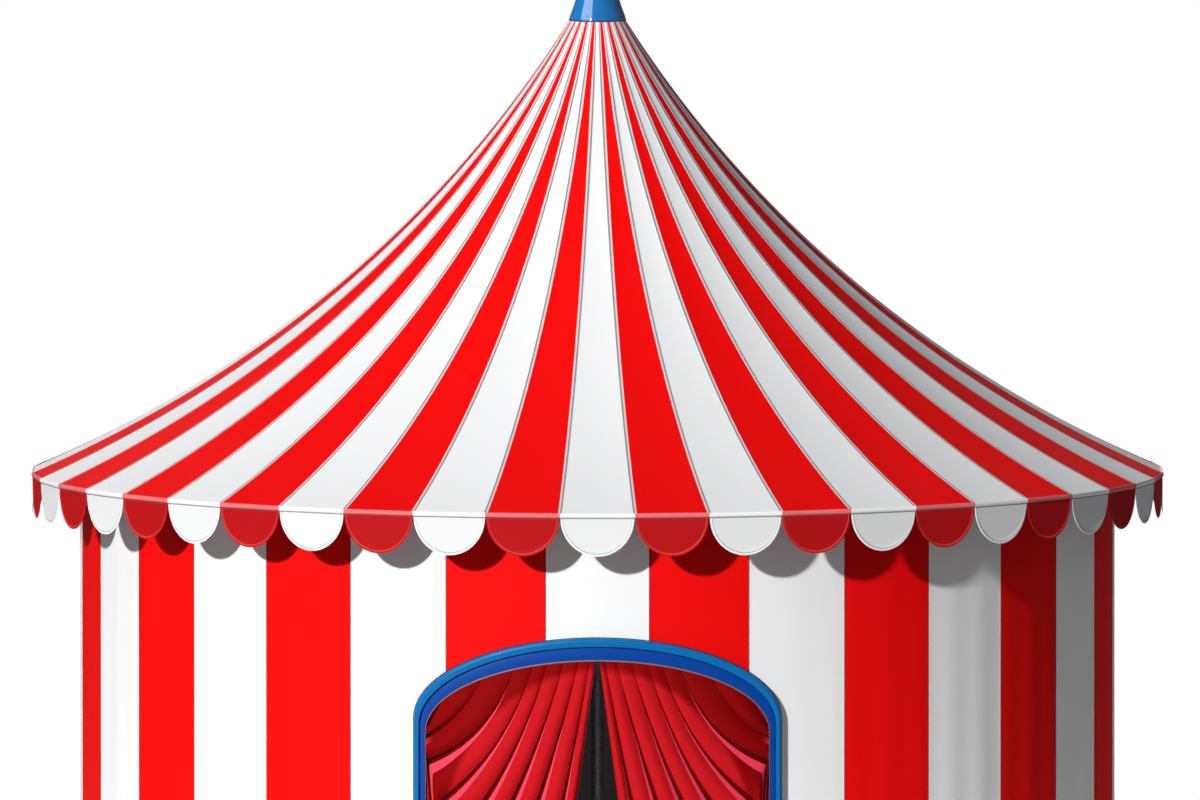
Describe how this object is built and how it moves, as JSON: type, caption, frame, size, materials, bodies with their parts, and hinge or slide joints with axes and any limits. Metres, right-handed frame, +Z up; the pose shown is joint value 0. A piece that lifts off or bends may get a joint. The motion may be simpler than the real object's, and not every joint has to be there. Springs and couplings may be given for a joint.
{
  "type": "circus big top tent",
  "caption": "Round striped circus tent with a bell-shaped roof on a king pole, a scalloped valance, a striped wall and a curtained arched doorway.",
  "frame": {"origin": "on the ground, at the centre of the king pole's foot", "axes": "+Z up along the king pole, the doorway towards -Y, +X to the right as seen from outside the doorway"},
  "size_m": [9.9786, 9.9786, 9.4537],
  "materials": {
    "tent_steel": "galvanised, satin",
    "cap_blue": "gloss paint",
    "frame_blue": "gloss paint",
    "lining_blue": "gloss paint",
    "roof_cloth": "coated polyester, red and white gores",
    "valance_cloth": "coated polyester with piped edges",
    "wall_cloth": "coated polyester, red and white stripes",
    "curtain_cloth": "heavy pleated drape",
    "tie_back_cloth": "padded braid band"
  },
  "bodies": {
    "root": {"king_pole_foot": "tent_steel", "king_pole": "tent_steel", "crown_ring": "tent_steel", "crown_cap": "cap_blue", "finial": "cap_blue", "canopy_quarter_1": "roof_cloth", "canopy_quarter_2": "roof_cloth", "canopy_quarter_3": "roof_cloth", "canopy_quarter_4": "roof_cloth", "valance_quarter_1": "valance_cloth", "valance_quarter_2": "valance_cloth", "valance_quarter_3": "valance_cloth", "valance_quarter_4": "valance_cloth", "eave_ring_section_1": "tent_steel", "eave_ring_section_2": "tent_steel", "eave_ring_section_3": "tent_steel", "eave_ring_section_4": "tent_steel", "eave_ring_section_5": "tent_steel", "eave_ring_section_6": "tent_steel", "eave_ring_section_7": "tent_steel", "eave_ring_section_8": "tent_steel", "side_pole_1": "tent_steel", "side_pole_2": "tent_steel", "side_pole_3": "tent_steel", "side_pole_4": "tent_steel", "side_pole_5": "tent_steel", "side_pole_6": "tent_steel", "side_pole_7": "tent_steel", "side_pole_8": "tent_steel", "wall_section_1": "wall_cloth", "wall_section_2": "wall_cloth", "wall_section_3": "wall_cloth", "wall_section_4": "wall_cloth", "wall_section_5": "wall_cloth", "wall_section_6": "wall_cloth", "wall_section_7": "wall_cloth", "front_wall_over_door": "wall_cloth", "front_wall_left": "wall_cloth", "front_wall_right": "wall_cloth", "door_lining": "lining_blue", "door_moulding": "frame_blue", "curtain_track": "tent_steel", "door_curtain_left": "curtain_cloth", "door_curtain_right": "curtain_cloth", "tie_back_left": "tie_back_cloth", "tie_back_right": "tie_back_cloth"}
  },
  "joints": []
}
